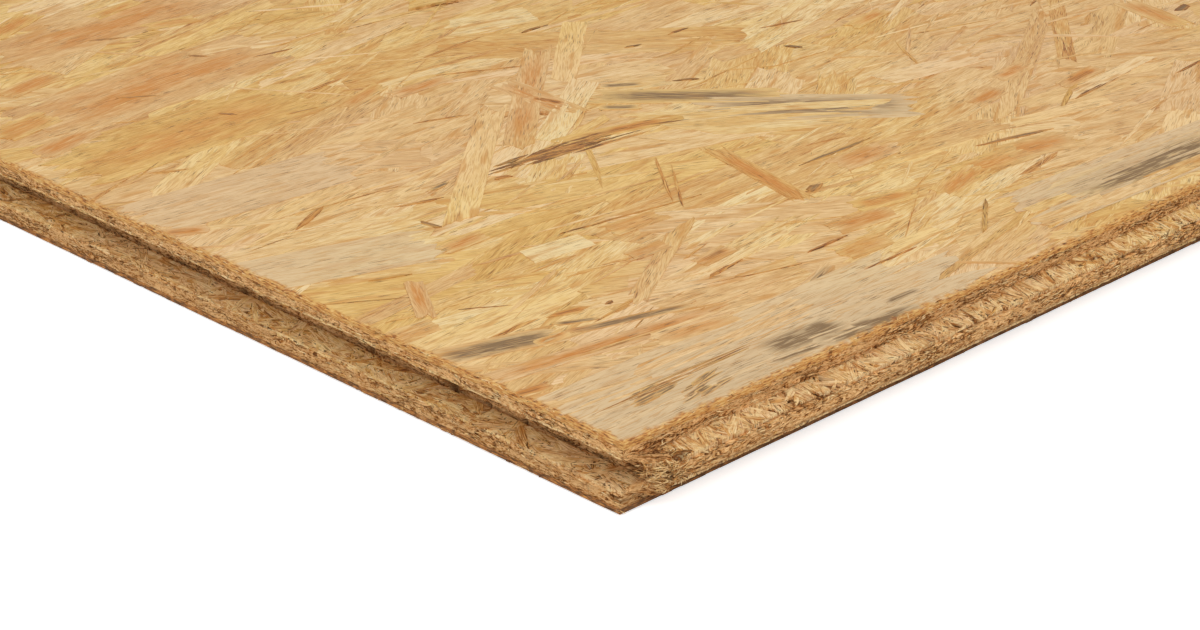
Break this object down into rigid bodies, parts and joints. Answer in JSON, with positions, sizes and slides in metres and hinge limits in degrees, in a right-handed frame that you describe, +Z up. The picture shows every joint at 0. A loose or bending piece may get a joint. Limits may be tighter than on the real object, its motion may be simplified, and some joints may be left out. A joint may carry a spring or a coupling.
{
  "type": "tongue and groove osb panel",
  "caption": "Flat oriented strand board panel milled with tongues and grooves on its edges, for laying floors, roofs and wall sheathing.",
  "frame": {"origin": "middle of the underside's outline, tongues included", "axes": "+X along the length and the face strands, from the short groove to the short tongue; +Y across the width, from the long tongue to the long groove; +Z up out of the upper face"},
  "size_m": [2.057, 0.682, 0.018],
  "materials": {
    "osb": "pressed pine strands, unsanded, pale straw to honey on the faces and darker brown and open on the milled edges"
  },
  "bodies": {
    "root": {"osb_panel": "osb"}
  },
  "joints": []
}
